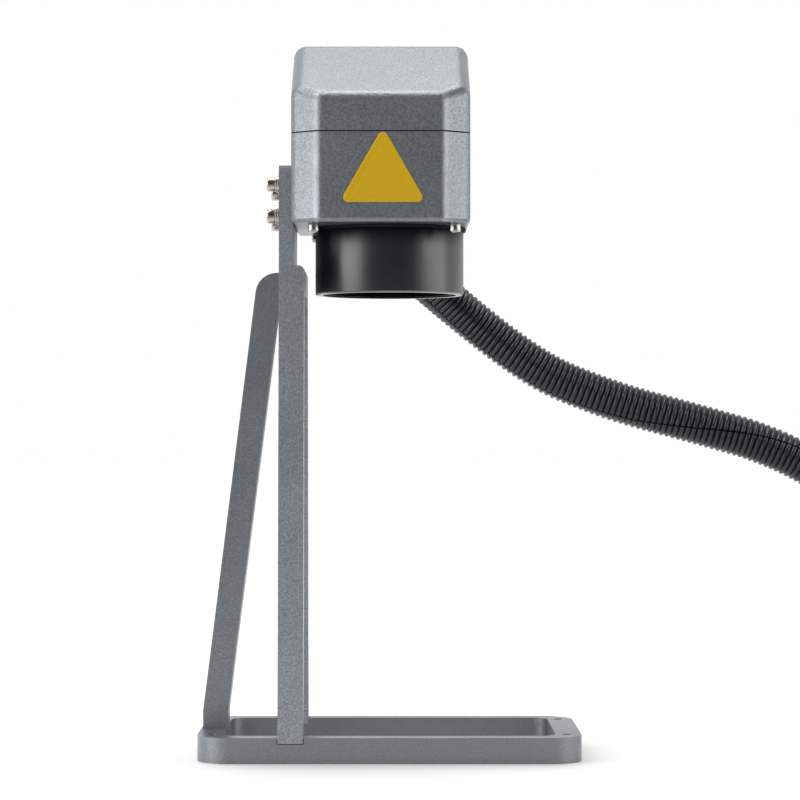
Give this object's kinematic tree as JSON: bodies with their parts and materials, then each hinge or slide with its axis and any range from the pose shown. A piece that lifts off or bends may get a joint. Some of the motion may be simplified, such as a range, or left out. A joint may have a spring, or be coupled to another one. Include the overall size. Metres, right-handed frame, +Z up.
{
  "type": "laser marking machine",
  "caption": "Laser marking head with a wide field lens, held over the work on an open frame stand with a ring base and a slanting brace, with a corrugated hose for its leads.",
  "frame": {"origin": "centre of the base ring's four fixing holes at its underside, on the lens axis", "axes": "+Z up along the lens axis, -Y towards the front of the head, +X from the upright towards the open side of the base ring"},
  "size_m": [0.8475, 0.3419, 0.43],
  "materials": {
    "stand_paint": "satin",
    "head_paint": "satin",
    "screw_steel": "satin",
    "badge": "satin",
    "black_metal": "satin anodised",
    "ring_metal": "satin",
    "glass": "coated",
    "mirror": "polished",
    "bare_metal": "machined",
    "magnet_steel": "satin",
    "rubber": "matte",
    "hose_plastic": "satin",
    "gland_plastic": "satin",
    "lead": "matte",
    "fibre": "glossy",
    "board": "satin",
    "parts": "matte",
    "brass": "satin"
  },
  "bodies": {
    "stand": {"base_ring": "stand_paint", "upright_frame": "stand_paint", "brace": "stand_paint", "leg_screws": "screw_steel", "brace_foot_screws": "screw_steel", "brace_top_screws": "screw_steel", "hose_run": "hose_plastic", "hose_coil": "hose_plastic", "hose_end_fitting": "gland_plastic"},
    "head": {"lower_shell": "head_paint", "upper_shell": "head_paint", "shell_gasket": "rubber", "shell_screws": "screw_steel", "side_inserts": "screw_steel", "bracket_screws": "screw_steel", "spring_washers": "screw_steel", "flat_washers": "screw_steel", "badge_plate": "badge", "lens_mount_ring": "ring_metal", "lens_barrel": "black_metal", "lens_lock_screw": "screw_steel", "window_ring": "black_metal", "protective_window": "glass", "lens_retainer": "black_metal", "front_lens": "glass", "middle_lens": "glass", "rear_lens": "glass", "lens_spacers": "black_metal", "scanner_block": "bare_metal", "block_screws": "screw_steel", "x_motor_case": "bare_metal", "y_motor_case": "bare_metal", "x_bearings": "screw_steel", "y_bearings": "screw_steel", "collimator": "bare_metal", "fibre_lead": "fibre", "driver_board": "board", "board_parts": "parts", "board_standoffs": "brass", "board_screws": "screw_steel", "signal_lead": "lead", "gland_body": "gland_plastic", "gland_nut": "gland_plastic", "gland_seal": "rubber", "gland_locknut": "ring_metal"},
    "x_mirror_rotor": {"x_rotor": "magnet_steel", "x_mirror_holder": "bare_metal", "x_mirror": "mirror"},
    "y_mirror_rotor": {"y_rotor": "magnet_steel", "y_mirror_holder": "bare_metal", "y_mirror": "mirror"}
  },
  "joints": [
    {"name": "head_height", "type": "slide", "parent": "stand", "child": "head", "axis": [0, 0, 1], "range_m": [-0.015, 0.003]},
    {"name": "x_mirror_swing", "type": "hinge", "parent": "head", "child": "x_mirror_rotor", "pos_m": [-0.026, 0, 0.345], "axis": [0, 0, 1], "range_deg": [-12, 12]},
    {"name": "y_mirror_swing", "type": "hinge", "parent": "head", "child": "y_mirror_rotor", "pos_m": [0, 0, 0.345], "axis": [0, 1, 0], "range_deg": [-12, 12]}
  ]
}
